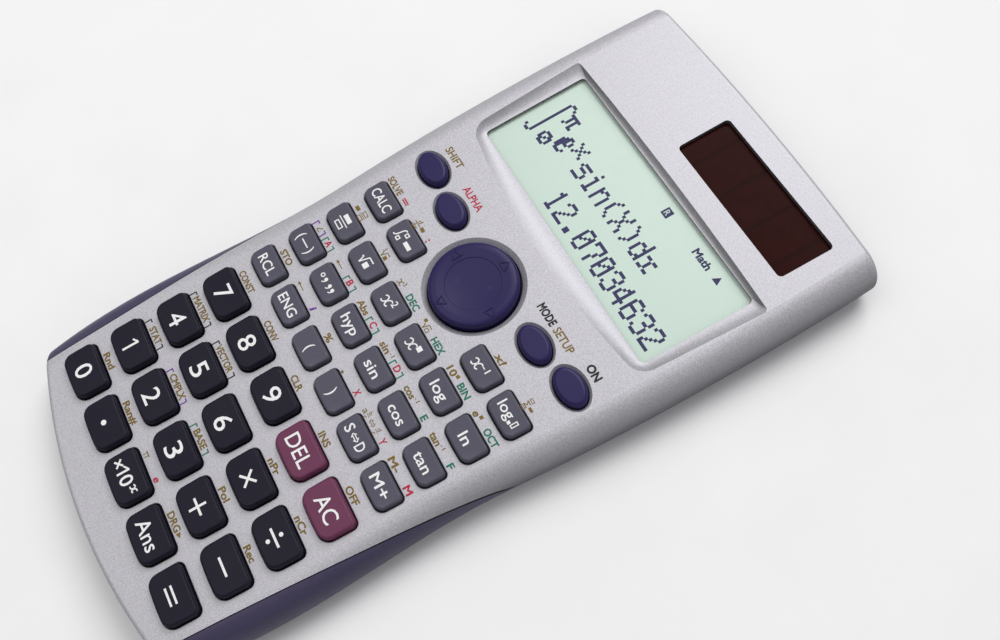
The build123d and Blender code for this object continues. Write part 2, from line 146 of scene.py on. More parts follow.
def worn_edges(tree, amount):
    """The given amount on worn outer edges, and 0 elsewhere."""
    geometry = tree.nodes.new("ShaderNodeNewGeometry")
    return mapped(tree, geometry.outputs["Pointiness"], 0.0, amount, 0.52, 0.62)


def plastic(name, colour, variation, roughness, grain, wear=0.0, gloss=0.35):
    """Moulded plastic: mottled colour, fine texture of the given grain size and rubbed edges."""
    material, tree, shader = new_material(name)
    fine = noise(tree, 1 / grain, 2.0)
    broad = noise(tree, 60.0, 3.0)
    dark, light = shade(colour, 1 - variation), shade(colour, 1 + variation)
    surface = blended(tree, mapped(tree, fine, 0.0, 1.0), dark, light)
    if wear:
        rubbed = [min(1.0, channel * 1.6 + 0.02) for channel in colour]
        surface = blended(tree, worn_edges(tree, wear), surface, rubbed)
    tree.links.new(surface, shader.inputs["Base Color"])
    tree.links.new(mapped(tree, broad, roughness - 0.05, roughness + 0.06), shader.inputs["Roughness"])
    shader.inputs["Specular IOR Level"].default_value = gloss
    bump(tree, shader, fine, 0.35, grain * 0.12)
    return material


def speckled_paint():
    """Silver paint: metal flakes that catch the light unevenly, and painted shade that darkens the steep
    flanks.
    """
    material, tree, shader = new_material("silver_paint")
    flakes = noise(tree, 1 / (0.22 * MM), 2.0, 0.7)
    patches = noise(tree, 1 / (0.7 * MM), 2.0)
    silver = COLOURS["silver"]
    fine = blended(tree, mapped(tree, flakes, 0.0, 1.0), shade(silver, 0.62), shade(silver, 1.38))
    broad = blended(tree, mapped(tree, patches, 0.0, 1.0), shade(silver, 0.96), shade(silver, 1.04))
    speckled = blended(tree, 0.3, fine, broad)
    # Painted shade: the silver darkens to about a quarter of itself where the surface stands steep,
    # standing in for the shade on the rounded rims and recess walls.
    normal_for_painted_shade = tree.nodes.new("ShaderNodeSeparateXYZ")
    tree.links.new(tree.nodes.new("ShaderNodeTexCoord").outputs["Normal"], normal_for_painted_shade.inputs["Vector"])
    level = mapped(tree, normal_for_painted_shade.outputs["Z"], 0.0, 1.0, 0.25, 0.97)
    tree.links.new(blended(tree, level, shade(silver, 0.28), speckled), shader.inputs["Base Color"])
    tree.links.new(mapped(tree, flakes, 0.44, 0.6), shader.inputs["Roughness"])
    shader.inputs["Metallic"].default_value = 0.4
    bump(tree, shader, flakes, 0.35, 0.02 * MM)
    return material


def metal(name, colour, roughness, grain):
    """Plain metal with a fine, uneven gloss."""
    material, tree, shader = new_material(name)
    fine = noise(tree, 1 / grain, 4.0)
    surface = blended(tree, mapped(tree, fine, 0.0, 1.0), shade(colour, 0.8), colour)
    tree.links.new(surface, shader.inputs["Base Color"])
    tree.links.new(mapped(tree, fine, roughness - 0.08, roughness + 0.1), shader.inputs["Roughness"])
    shader.inputs["Metallic"].default_value = 1.0
    bump(tree, shader, fine, 0.3, grain * 0.1)
    return material


def ink(name, colour):
    """Printed ink, a little uneven."""
    material, tree, shader = new_material(name)
    fine = noise(tree, 6000.0, 2.0)
    surface = blended(tree, mapped(tree, fine, 0.0, 1.0), shade(colour, 0.85), colour)
    tree.links.new(surface, shader.inputs["Base Color"])
    shader.inputs["Roughness"].default_value = 0.5
    shader.inputs["Specular IOR Level"].default_value = 0.3
    return material


def clear_pane():
    """Clear polished plastic, with faint scratches in its gloss."""
    material, tree, shader = new_material("clear_pane")
    shader.inputs["Base Color"].default_value = (*COLOURS["pane"], 1.0)
    shader.inputs["Alpha"].default_value = 0.02
    shader.inputs["Specular IOR Level"].default_value = 0.1
    tree.links.new(mapped(tree, noise(tree, 900.0, 4.0), 0.03, 0.14), shader.inputs["Roughness"])
    return material


def lcd_glass():
    """Pale green display with the faint grid of its dots."""
    material, tree, shader = new_material("lcd_glass")
    grid = tree.nodes.new("ShaderNodeTexBrick")
    grid.offset = 0.0
    grid.inputs["Scale"].default_value = 1.0
    grid.inputs["Brick Width"].default_value = DOT_PITCH[0] * MM
    grid.inputs["Row Height"].default_value = DOT_PITCH[1] * MM
    grid.inputs["Mortar Size"].default_value = DOT_PITCH[0] * MM * 0.04
    grid.inputs["Color1"].default_value = (0.60, 0.745, 0.655, 1.0)
    grid.inputs["Color2"].default_value = (0.61, 0.755, 0.665, 1.0)
    grid.inputs["Mortar"].default_value = (0.64, 0.78, 0.70, 1.0)
    tree.links.new(coordinates(tree), grid.inputs["Vector"])
    tree.links.new(grid.outputs["Color"], shader.inputs["Base Color"])
    tree.links.new(mapped(tree, noise(tree, 500.0), 0.3, 0.4), shader.inputs["Roughness"])
    return material


def solar_glass():
    """Dark red-brown cell under glass, divided into narrow strips."""
    material, tree, shader = new_material("solar_glass")
    low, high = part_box("solar_cell")
    strips = tree.nodes.new("ShaderNodeTexWave")
    strips.wave_type = "BANDS"
    strips.bands_direction = "X"
    strips.wave_profile = "SIN"
    strips.inputs["Scale"].default_value = SOLAR_STRIPS / (high[0] - low[0]) / 3.2
    tree.links.new(coordinates(tree), strips.inputs["Vector"])
    lines = mapped(tree, strips.outputs["Fac"], 0.0, 1.0, 0.0, 0.05)
    darkest, dark, light = (0.018, 0.004, 0.003), (0.024, 0.004, 0.003), (0.028, 0.005, 0.004)
    mottle = blended(tree, mapped(tree, noise(tree, 300.0), 0.0, 1.0), dark, light)
    tree.links.new(blended(tree, lines, darkest, mottle), shader.inputs["Base Color"])
    tree.links.new(mapped(tree, noise(tree, 700.0), 0.2, 0.3), shader.inputs["Roughness"])
    shader.inputs["Specular IOR Level"].default_value = 0.02
    return material


inks = {name: ink("ink_" + name, colour) for name, colour in INKS.items()}

by_slot = {
    "front_shell": speckled_paint(),
    "rear_shell": plastic("violet_shell", COLOURS["violet"], 0.10, 0.46, 0.25 * MM, 0.4),
    "function_key": plastic("slate_key", COLOURS["slate"], 0.08, 0.44, 0.2 * MM, 0.4, 0.25),
    "number_key": plastic("night_key", COLOURS["night"], 0.12, 0.42, 0.2 * MM, 0.4, 0.14),
    "clearing_key": plastic("plum_key", COLOURS["plum"], 0.08, 0.42, 0.2 * MM, 0.4, 0.25),
    "oval_key": plastic("indigo_key", COLOURS["indigo"], 0.08, 0.34, 0.2 * MM, 0.2, 0.2),
    "pivot_plastic": plastic("natural_plastic", COLOURS["natural"], 0.05, 0.5, 0.3 * MM),
    "board": plastic("circuit_board", COLOURS["board"], 0.15, 0.4, 0.8 * MM),
    "dome_rubber": plastic("dome_rubber", COLOURS["silicone"], 0.04, 0.6, 0.4 * MM),
    "foot_rubber": plastic("foot_rubber", COLOURS["black_rubber"], 0.2, 0.75, 0.3 * MM),
    "cell_steel": metal("cell_steel", COLOURS["steel"], 0.3, 0.4 * MM),
    "contact_metal": metal("contact_metal", COLOURS["nickel"], 0.3, 0.4 * MM),
    "screw_steel": metal("screw_steel", COLOURS["black_steel"], 0.4, 0.2 * MM),
    "clear_pane": clear_pane(),
    "lcd_glass": lcd_glass(),
    "solar_glass": solar_glass(),
}
for entry in frame["record"]["subparts"]:
    materials = nodes[entry["node"]].data.materials
    materials.clear()
    materials.append(by_slot[entry["material_slot"]])

# ------------------------------------------------------------------ drawing in ink


def capital_height():
    """How tall the built-in font's capitals are, in units of its own size."""
    curve = bpy.data.curves.new("H", "FONT")
    curve.body = "H"
    letter = bpy.data.objects.new("H", curve)
    bpy.context.scene.collection.objects.link(letter)
    bpy.context.view_layer.update()
    height = letter.dimensions.y
    bpy.data.objects.remove(letter)
    return height


CAPITAL = capital_height()


def middle_of(node):
    """The middle of a part's box, in millimetres across and up."""
    low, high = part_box(node)
    return (low[0] + high[0]) / 2 / MM, (low[1] + high[1]) / 2 / MM


def turns(count):
    """Angles once round, from 0 to a full turn."""
    return [2 * math.pi * step / (count - 1) for step in range(count)]


class Print:
    """Flat printing gathered in one mesh. Places and sizes are millimetres on a level surface."""

    def __init__(self, name, colour, level, body):
        self.name, self.colour, self.level, self.body = name, colour, level, body
        self.mesh = bmesh.new()
        self.laid = 0

    def top(self):
        """Height of the next mark. Neighbours differ a little, so marks that cross share no face."""
        self.laid += 1
        return self.level + INK_THICKNESS * (1 + 0.1 * (self.laid % 5))

    def slab(self, points):
        """A filled outline, given anticlockwise."""
        top = self.top()
        lower = [self.mesh.verts.new((x * MM, y * MM, self.level - INK_SUNK)) for x, y in points]
        upper = [self.mesh.verts.new((x * MM, y * MM, top)) for x, y in points]
        self.mesh.faces.new(upper)
        self.mesh.faces.new(lower[::-1])
        for i in range(len(points)):
            j = (i + 1) % len(points)
            self.mesh.faces.new((lower[i], lower[j], upper[j], upper[i]))

    def bar(self, x, y, width, height):
        """A filled box about its middle."""
        w, h = width / 2, height / 2
        self.slab([(x - w, y - h), (x + w, y - h), (x + w, y + h), (x - w, y + h)])

    def open_box(self, x, y, width, height, line):
        """An open box about its middle."""
        self.bar(x, y + (height - line) / 2, width, line)
        self.bar(x, y - (height - line) / 2, width, line)
        self.bar(x - (width - line) / 2, y, line, height - 2 * line)
        self.bar(x + (width - line) / 2, y, line, height - 2 * line)

    def stroke(self, start, end, line):
        """A straight line between two points."""
        along = (Vector(end) - Vector(start)).normalized()
        side = Vector((-along.y, along.x)) * line / 2
        a, b = Vector(start), Vector(end)
        self.slab([tuple(a - side), tuple(b - side), tuple(b + side), tuple(a + side)])

    def path(self, points, line):
        """Straight lines from each point to the next."""
        for start, end in zip(points, points[1:]):
            self.stroke(start, end, line)

    def disc(self, x, y, radius):
        """A filled round."""
        self.slab([(x + radius * math.cos(a), y + radius * math.sin(a)) for a in turns(17)[:-1]])

    def ring(self, x, y, radius, line):
        """An open round."""
        self.path([(x + radius * math.cos(a), y + radius * math.sin(a)) for a in turns(13)], line)

    def double_arrow(self, x, y, half, line):
        """A level arrow with a head at each end."""
        for side in (-1, 1):
            neck = x + side * half * 0.4
            self.path([(neck, y + half * 0.6), (x + side * half, y), (neck, y - half * 0.6)], line)
            self.bar(x, y + side * half * 0.25, half * 1.2, line)

    def root_sign(self, x, y, size, line):
        """A root sign about its middle, with room under its roof for what it holds."""
        points = [(-1.0, 0.1), (-0.72, 0.28), (-0.3, -1.0), (0.2, 1.0), (1.6, 1.0)]
        self.path([(x + a * size, y + b * size) for a, b in points], line)

    def script_x(self, x, y, size, line):
        """A handwritten x about its middle: two bowls back to back, each with its hooks."""
        bowls = (
            [
                (-0.62, 0.22), (-0.45, 0.42), (-0.16, 0.42), (0.02, 0.1),
                (-0.1, -0.32), (-0.36, -0.5), (-0.58, -0.38),
            ],
            [
                (0.66, 0.4), (0.46, 0.5), (0.2, 0.34), (0.06, 0.0),
                (0.14, -0.34), (0.36, -0.46), (0.6, -0.28),
            ],
        )
        for points in bowls:
            self.path([(x + a * size, y + b * size) for a, b in points], line)

    def text(self, words, x, y, cap, width=None, slant=0.0, bold=0.01):
        """Words centred on x, with capitals cap high that stand on y, squeezed to width if given.

        bold is how far the letters grow all round, as a share of the font's size.
        """
        curve = bpy.data.curves.new("words", "FONT")
        curve.body = words
        curve.extrude = 0.05
        curve.bevel_depth = bold
        curve.bevel_resolution = 0
        curve.resolution_u = 3
        letter = bpy.data.objects.new("words", curve)
        bpy.context.scene.collection.objects.link(letter)
        bpy.context.view_layer.update()
        solid = bpy.data.meshes.new_from_object(letter)
        bpy.data.objects.remove(letter)
        xs = [vertex.co.x for vertex in solid.vertices]
        half_depth = max(vertex.co.z for vertex in solid.vertices)
        middle = (max(xs) + min(xs)) / 2
        scale = cap / CAPITAL * MM
        squeeze = scale if width is None else width * MM / (max(xs) - min(xs))
        bottom = self.level - INK_SUNK
        depth = self.top() - bottom
        for vertex in solid.vertices:
            across, up = vertex.co.x - middle, vertex.co.y
            height = bottom + depth * (vertex.co.z / half_depth + 1) / 2
            vertex.co = (x * MM + across * squeeze + up * scale * slant, y * MM + up * scale, height)
        self.mesh.from_mesh(solid)
        bpy.data.meshes.remove(solid)

    def finish(self):
        data = bpy.data.meshes.new(self.name)
        self.mesh.to_mesh(data)
        self.mesh.free()
        data.materials.clear()
        data.materials.append(inks[self.colour])
        piece = bpy.data.objects.new(self.name, data)
        bpy.context.scene.collection.objects.link(piece)
        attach(piece, self.body)

# ------------------------------------------------------------------ what stands on the keys
# Each drawing function works in millimetres about x, y, the middle of its key's cap.
THIN, THICK = 0.28, 0.5  # widths of line
SIGN_WIDTH = 4.1  # of the signs for adding, taking away and so on


def words(text, width, cap=2.15, drop=0.0, bold=0.01):
    """A drawing function that writes words of the given width, drop below the middle."""
    def draw(ink_on, x, y):
        ink_on.text(text, x, y - cap / 2 - drop, cap, width, 0.0, bold)
    return draw


def integral(ink_on, x, y):
    curl = [(-2.75, -1.25), (-2.35, -1.25), (-2.05, -0.85), (-1.75, 0.9), (-1.45, 1.3), (-1.05, 1.3)]
    ink_on.path([(x + a, y + b) for a, b in curl], THIN)
    ink_on.open_box(x - 0.35, y + 0.85, 1.0, 1.0, 0.25)
    ink_on.open_box(x - 1.15, y - 1.05, 1.0, 1.0, 0.25)
    ink_on.bar(x + 1.75, y - 0.3, 2.2, 0.95)


def reciprocal(ink_on, x, y):
    ink_on.script_x(x - 1.1, y - 0.2, 1.8, THIN)
    ink_on.text("-1", x + 0.95, y + 0.1, 1.35, 1.5)


def log_base(ink_on, x, y):
    ink_on.text("log", x - 1.0, y - 0.75, 2.1, 3.9)
    ink_on.bar(x + 1.45, y - 0.7, 0.7, 0.7)
    ink_on.open_box(x + 2.45, y + 0.0, 0.85, 1.7, 0.22)


def fraction(ink_on, x, y):
    ink_on.bar(x, y + 1.1, 2.4, 1.05)
    ink_on.bar(x, y, 3.5, 0.22)
    ink_on.open_box(x, y - 1.15, 2.4, 1.15, 0.25)


def root(ink_on, x, y):
    ink_on.root_sign(x - 0.4, y - 0.05, 1.2, THIN)
    ink_on.bar(x + 0.85, y - 0.45, 1.3, 1.3)


def square(ink_on, x, y):
    ink_on.script_x(x - 0.6, y - 0.2, 1.9, THIN)
    ink_on.text("2", x + 1.1, y + 0.1, 1.5, None)


def power(ink_on, x, y):
    ink_on.script_x(x - 0.6, y - 0.2, 1.9, THIN)
    ink_on.bar(x + 1.35, y + 0.75, 1.15, 1.15)


def negative(ink_on, x, y):
    ink_on.text("(", x - 2.1, y - 0.95, 2.15, 0.75)
    ink_on.bar(x, y - 0.05, 2.6, 0.28)
    ink_on.text(")", x + 2.1, y - 0.95, 2.15, 0.75)


def degree(ink_on, x, y):
    ink_on.ring(x - 2.1, y + 0.2, 0.42, 0.25)
    for shift in (-0.75, 1.05, 2.25):
        middle = x + shift
        ink_on.disc(middle, y + 0.3, 0.42)
        ink_on.path([(middle + 0.3, y + 0.15), (middle + 0.1, y - 0.45), (middle - 0.25, y - 0.75)], 0.24)


def swap(ink_on, x, y):
    ink_on.text("S", x - 2.35, y - 1.1, 2.15, 1.4)
    ink_on.text("D", x + 2.3, y - 1.1, 2.15, 1.6)
    ink_on.double_arrow(x, y, 1.0, 0.2)


def cross(ink_on, x, y, half, line):
    for side in (-1, 1):
        ink_on.stroke((x - half, y - half * side), (x + half, y + half * side), line)


def times(ink_on, x, y):
    cross(ink_on, x, y, 1.35, THICK)


def divide(ink_on, x, y):
    ink_on.bar(x, y, SIGN_WIDTH, THICK)
    for side in (-1, 1):
        ink_on.disc(x, y + side * 1.45, 0.45)


def plus(ink_on, x, y):
    half = 1.9
    ink_on.bar(x, y, 2 * half, THICK)
    for side in (-1, 1):
        ink_on.bar(x, y + side * (half + THICK / 2) / 2, THICK, half - THICK / 2)


def minus(ink_on, x, y):
    ink_on.bar(x, y, SIGN_WIDTH, THICK)


def equals(ink_on, x, y):
    for side in (-1, 1):
        ink_on.bar(x, y + side * 0.6, 3.8, THICK * 0.9)


def point(ink_on, x, y):
    ink_on.disc(x, y, 0.6)


def one(ink_on, x, y, height=3.9, line=0.5):
    """The digit 1 with a flag, because the built-in font's 1 is a plain bar."""
    ink_on.bar(x + 0.25, y, line, height)
    ink_on.stroke((x + 0.1, y + height / 2 - 0.2), (x - 0.85, y + height / 2 - 0.95), line * 0.8)


def exponent(ink_on, x, y):
    cross(ink_on, x - 3.2, y - 0.2, 0.75, 0.4)
    one(ink_on, x - 1.4, y + 0.05, 2.9, 0.45)
    ink_on.text("0", x + 0.75, y - 1.4, 2.9, 2.1)
    ink_on.script_x(x + 3.1, y + 0.8, 1.25, 0.28)


LEGENDS = {
    "calc_key": words("CALC", 6.4),
    "integral_key": integral,
    "reciprocal_key": reciprocal,
    "log_base_key": log_base,
    "fraction_key": fraction,
    "root_key": root,
    "square_key": square,
    "power_key": power,
    "log_key": words("log", 4.5, drop=-0.15),
    "ln_key": words("ln", 2.5),
    "negative_key": negative,
    "degree_key": degree,
    "hyp_key": words("hyp", 5.2, drop=-0.3),
    "sin_key": words("sin", 4.2),
    "cos_key": words("cos", 4.7),
    "tan_key": words("tan", 4.6),
    "recall_key": words("RCL", 5.3),
    "eng_key": words("ENG", 5.9),
    "open_bracket_key": words("(", 0.8, drop=-0.15),
    "close_bracket_key": words(")", 0.8, drop=-0.15),
    "sd_key": swap,
    "m_plus_key": words("M+", 5.4),
    "delete_key": words("DEL", 7.2, 3.1, bold=0.005),
    "clear_key": words("AC", 5.8, 3.1, bold=0.005),
    "multiply_key": times,
    "divide_key": divide,
    "plus_key": plus,
    "minus_key": minus,
    "point_key": point,
    "exponent_key": exponent,
    "answer_key": words("Ans", 6.7, 3.0, bold=0.006),
    "equals_key": equals,
}
LEGENDS.update({f"digit_{digit}_key": words(str(digit), 2.9, 3.9, bold=0.004) for digit in range(10)})
LEGENDS["digit_1_key"] = one

for key, draw in LEGENDS.items():
    legend = Print(key.replace("_key", "_legend"), "white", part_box(key)[1][2], body_of[key])
    draw(legend, *middle_of(key))
    legend.finish()

# ------------------------------------------------------------------ what is printed on the case
face_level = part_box("front_case")[1][2]
labels = {
    colour: Print(f"{colour}_labels", colour, face_level, "root")
    for colour in ("gold", "red", "green", "purple", "black")
}
SMALL_CAP = 1.45
LABEL_RISE = 0.62  # from a key's hole to the foot of the words above it
KEY_WORDS = [
    # key, colour, words, how far right of the key's middle, width, slant
    ("calc_key", "gold", "SOLVE", -2.2, 5.0, 0),
    ("calc_key", "red", "=", 2.5, 1.9, 0),
    ("integral_key", "red", ":", 2.3, 0.45, 0),
    ("reciprocal_key", "gold", "x!", 0.0, 2.7, 0.2),
    ("square_key", "green", "DEC", 2.1, 4.0, 0),
    ("power_key", "green", "HEX", 2.2, 4.0, 0),
    ("log_key", "gold", "10", -2.7, 2.3, 0),
    ("log_key", "green", "BIN", 2.2, 3.5, 0),
    ("ln_key", "gold", "e", -3.7, 1.2, 0.2),
    ("ln_key", "green", "OCT", 2.1, 4.1, 0),
    ("negative_key", "red", "A", 2.2, 1.4, 0),
    ("degree_key", "red", "B", 2.0, 1.2, 0),
    ("hyp_key", "gold", "Abs", -2.5, 3.7, 0),
    ("hyp_key", "red", "C", 2.1, 1.3, 0),
    ("sin_key", "gold", "sin", -3.2, 2.8, 0),
    ("sin_key", "red", "D", 2.2, 1.4, 0),
    ("cos_key", "gold", "cos", -3.2, 3.0, 0),
    ("cos_key", "green", "E", 3.0, 1.1, 0),
    ("tan_key", "gold", "tan", -3.2, 2.9, 0),
    ("tan_key", "green", "F", 3.1, 1.1, 0),
    ("recall_key", "gold", "STO", 0.1, 4.1, 0),
    ("eng_key", "purple", "i", 2.9, 0.62, 0.25),
    ("open_bracket_key", "gold", "%", -0.3, 2.1, 0),
    ("close_bracket_key", "gold", ",", -3.1, 0.7, 0),
    ("close_bracket_key", "red", "X", 2.4, 1.3, 0),
    ("sd_key", "red", "Y", 3.1, 1.3, 0),
    ("m_plus_key", "gold", "M-", -2.7, 3.3, 0),
    ("m_plus_key", "red", "M", 3.1, 1.9, 0),
    ("digit_7_key", "gold", "CONST", -0.5, 5.8, 0),
    ("digit_8_key", "gold", "CONV", -0.5, 5.1, 0),
    ("digit_9_key", "gold", "CLR", -0.4, 3.7, 0),
    ("delete_key", "gold", "INS", 0.0, 3.4, 0),
    ("clear_key", "gold", "OFF", -0.3, 4.1, 0),
    ("digit_4_key", "gold", "MATRIX", -0.1, 6.7, 0),
    ("digit_5_key", "gold", "VECTOR", -0.2, 6.8, 0),
    ("multiply_key", "gold", "nPr", -0.2, 3.7, 0),
    ("divide_key", "gold", "nCr", -0.1, 4.0, 0),
    ("digit_1_key", "gold", "STAT", 0.0, 4.4, 0),
    ("digit_2_key", "gold", "CMPLX", 0.2, 6.3, 0),
    ("digit_3_key", "gold", "BASE", 0.0, 4.6, 0),
    ("plus_key", "gold", "Pol", -0.2, 3.2, 0),
    ("minus_key", "gold", "Rec", -0.2, 3.5, 0),
    ("digit_0_key", "gold", "Rnd", -0.1, 4.1, 0),
    ("point_key", "gold", "Ran#", 0.1, 5.6, 0),
    ("exponent_key", "red", "e", 3.0, 1.2, 0.2),
    ("answer_key", "gold", "DRG", -0.3, 4.4, 0),
]


def label_place(key, rise=LABEL_RISE):
    """The middle of a key, and the foot of the words above it, in millimetres."""
    return middle_of(key)[0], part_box(key)[1][1] / MM - KEY_FLANGE + rise


for key, colour, text, shift, width, slant in KEY_WORDS:
    x, foot = label_place(key)
    labels[colour].text(text, x + shift, foot, SMALL_CAP, width, slant, 0.03)

BRACKETS = [
    # key, colour, left end, right end
    ("negative_key", "purple", -4.0, -0.4),
    ("negative_key", "green", 0.7, 3.9),
    ("degree_key", "green", 0.35, 3.9),
    ("hyp_key", "green", 0.3, 3.9),
    ("sin_key", "green", 0.3, 3.95),
    ("digit_4_key", "black", -4.5, 4.3),
    ("digit_5_key", "black", -4.5, 4.4),
    ("digit_1_key", "black", -4.0, 3.3),
    ("digit_2_key", "purple", -4.1, 4.2),
    ("digit_3_key", "green", -3.5, 3.4),
]
BRACKET_LINE, BRACKET_REACH = 0.28, 0.65
BRACKET_LOW, BRACKET_HIGH = 0.15 - LABEL_RISE, SMALL_CAP - 0.1  # from the foot of the words
for key, colour, left, right in BRACKETS:
    x, foot = label_place(key)
    low_end, high_end = foot + BRACKET_LOW, foot + BRACKET_HIGH
    for end, inward in ((left, 1), (right, -1)):
        labels[colour].bar(x + end, (high_end + low_end) / 2, BRACKET_LINE, high_end - low_end)
        corner = x + end + inward * (BRACKET_REACH + BRACKET_LINE) / 2
        labels[colour].bar(corner, high_end - BRACKET_LINE / 2, BRACKET_REACH, BRACKET_LINE)


def small_signs(gold):
    """The signs above the keys that no letters make."""
    line = 0.2
    x, foot = label_place("integral_key")
    gold.text("d", x - 2.4, foot + 0.85, 1.0, 0.8)
    gold.bar(x - 2.4, foot + 0.6, 2.0, line)
    gold.text("dx", x - 2.4, foot - 0.6, 1.0, 1.8)
    gold.bar(x - 0.55, foot + 0.75, 1.2, 0.8)
    x, foot = label_place("log_base_key")
    sigma = [(0.3, 1.2), (-0.8, 1.2), (-0.1, 0.7), (-0.8, 0.2), (0.3, 0.2)]
    gold.path([(x + a, foot + b) for a, b in sigma], line)
    gold.open_box(x - 0.25, foot + 1.85, 1.2, 0.6, 0.14)
    gold.open_box(x - 0.25, foot - 0.3, 1.2, 0.6, 0.14)
    gold.bar(x + 1.1, foot + 0.7, 1.1, 0.6)
    x, foot = label_place("fraction_key")
    gold.bar(x - 1.9, foot + 0.6, 1.3, 0.85)
    gold.open_box(x + 0.4, foot + 1.3, 1.6, 0.85, 0.18)
    gold.bar(x + 0.4, foot + 0.6, 2.1, 0.14)
    gold.open_box(x + 0.4, foot - 0.1, 1.6, 0.85, 0.18)
    x, foot = label_place("root_key")
    gold.root_sign(x + 0.1, foot + 0.6, 0.75, line)
    gold.text("3", x - 0.75, foot + 0.85, 0.9)
    gold.bar(x + 0.95, foot + 0.3, 0.9, 0.9)
    x, foot = label_place("square_key")
    gold.script_x(x - 3.4, foot + 0.6, 1.15, 0.2)
    gold.text("3", x - 2.3, foot + 0.75, 0.95)
    x, foot = label_place("power_key")
    gold.bar(x - 4.0, foot + 1.25, 0.75, 0.75)
    gold.root_sign(x - 2.8, foot + 0.6, 0.75, line)
    gold.open_box(x - 2.0, foot + 0.35, 0.95, 0.95, 0.16)
    for key, shift in (("log_key", -1.0), ("ln_key", -2.4)):
        x, foot = label_place(key)
        gold.bar(x + shift, foot + 1.15, 0.75, 0.75)
    x, foot = label_place("negative_key")
    gold.path([(x - 1.6, foot + 1.3), (x - 2.6, foot + 0.1), (x - 1.4, foot + 0.1)], line)
    for key in ("degree_key", "eng_key"):
        x, foot = label_place(key)
        gold.bar(x - 2.8, foot + 0.65, 1.9, line)
        gold.slab([(x - 4.4, foot + 0.65), (x - 3.6, foot + 0.25), (x - 3.6, foot + 1.05)])
    for key in ("sin_key", "cos_key", "tan_key"):
        x, foot = label_place(key)
        gold.text("-1", x - 1.0, foot + 0.75, 0.85, 1.1)
    x, foot = label_place("sd_key")
    gold.text("a", x - 4.3, foot, 1.35, 0.95)
    for shift, upper in ((-3.2, "b"), (0.6, "d")):
        gold.text(upper, x + shift, foot + 0.85, 0.85, 0.65)
        gold.bar(x + shift, foot + 0.6, 1.1, 0.12)
        gold.text("c", x + shift, foot - 0.45, 0.95, 0.6)
    gold.double_arrow(x - 1.3, foot + 0.6, 0.8, 0.14)
    x, foot = label_place("exponent_key")
    gold.bar(x - 2.8, foot + 1.0, 1.5, 0.2)
    for side in (-1, 1):
        gold.bar(x - 2.8 + side * 0.35, foot + 0.45, 0.18, 0.9)
    x, foot = label_place("answer_key")
    gold.slab([(x + 2.2, foot + 0.1), (x + 3.3, foot + 0.65), (x + 2.2, foot + 1.2)])


small_signs(labels["gold"])

OVAL_WORDS = [
    # key, colour, words, how far right of the key's middle, width, rise above the key, boldness
    ("shift_key", "gold", "SHIFT", 0.0, 5.9, 1.5, 0.02),
    ("alpha_key", "red", "ALPHA", -0.1, 6.6, 1.5, 0.02),
    ("mode_key", "black", "MODE", -4.3, 5.2, 1.45, 0.04),
    ("mode_key", "gold", "SETUP", 2.1, 5.9, 1.45, 0.02),
    ("on_key", "black", "ON", -0.3, 3.6, 1.5, 0.04),
]
OVAL_CAP = 1.65
for key, colour, text, shift, width, rise, bold in OVAL_WORDS:
    x, foot = label_place(key, rise)
    labels[colour].text(text, x + shift, foot, OVAL_CAP, width, 0, bold)
for printing in labels.values():
    printing.finish()

# ------------------------------------------------------------------ the display's dots
GLYPHS = {
    "0": ("01110", "10001", "10011", "10101", "11001", "10001", "10001", "01110"),
    "1": ("00100", "01100", "00100", "00100", "00100", "00100", "00100", "01110"),
    "2": ("01110", "10001", "00001", "00010", "00100", "01000", "10000", "11111"),
    "3": ("01110", "10001", "00001", "00110", "00001", "00001", "10001", "01110"),
    "4": ("00010", "00110", "01010", "10010", "10010", "11111", "00010", "00010"),
    "6": ("01110", "10001", "10000", "11110", "10001", "10001", "10001", "01110"),
    "7": ("11111", "10001", "00001", "00010", "00010", "00100", "00100", "00100"),
    ".": ("00000", "00000", "00000", "00000", "00000", "00000", "01100", "01100"),
    "s": ("00000", "00000", "01111", "10000", "01110", "00001", "00001", "11110"),
    "i": ("00100", "00000", "01100", "00100", "00100", "00100", "00100", "01110"),
    "n": ("00000", "00000", "10110", "11001", "10001", "10001", "10001", "10001"),
    "(": ("00010", "00100", "01000", "01000", "01000", "01000", "00100", "00010"),
    ")": ("01000", "00100", "00010", "00010", "00010", "00010", "00100", "01000"),
    "X": ("10001", "10001", "01010", "00100", "00100", "01010", "10001", "10001"),
    "d": ("00001", "00001", "01101", "10011", "10001", "10001", "10011", "01101"),
    "x": ("00000", "00000", "11011", "00100", "00100", "00100", "11011", "00000"),
    "e": ("00000", "00110", "01101", "11101", "11110", "11000", "11001", "01110"),
    "pi": ("11111", "01010", "01010", "01010", "10011"),
    "small_0": ("01110", "10011", "10101", "11001", "01110"),
    "small_x": ("10001", "01010", "00100", "01010", "10001"),
}
INTEGRAL_HOOKS = [(3, 17), (4, 17), (5, 16), (1, 0), (0, 0), (-1, 1)]
INTEGRAL = INTEGRAL_HOOKS + [(2, row) for row in range(1, 17)]

lcd_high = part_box("lcd_panel")[1]
dots = Print("display_dots", "display", lcd_high[2], "root")
DOTS_LEFT, DOTS_BOTTOM = -29.0, 34.0  # corner of the first dot
DOT_GROWTH = 1.08  # so that neighbours join


def dot(column, row):
    """One dot, counted from the display's lower left corner."""
    x = DOTS_LEFT + (column + 0.5) * DOT_PITCH[0]
    y = DOTS_BOTTOM + (row + 0.5) * DOT_PITCH[1]
    dots.bar(x, y, DOT_PITCH[0] * DOT_GROWTH, DOT_PITCH[1] * DOT_GROWTH)


def glyph(name, column, row):
    """A letter whose lower left dot is at column, row."""
    for up, line in enumerate(reversed(GLYPHS[name])):
        for across, mark in enumerate(line):
            if mark == "1":
                dot(column + across, row + up)


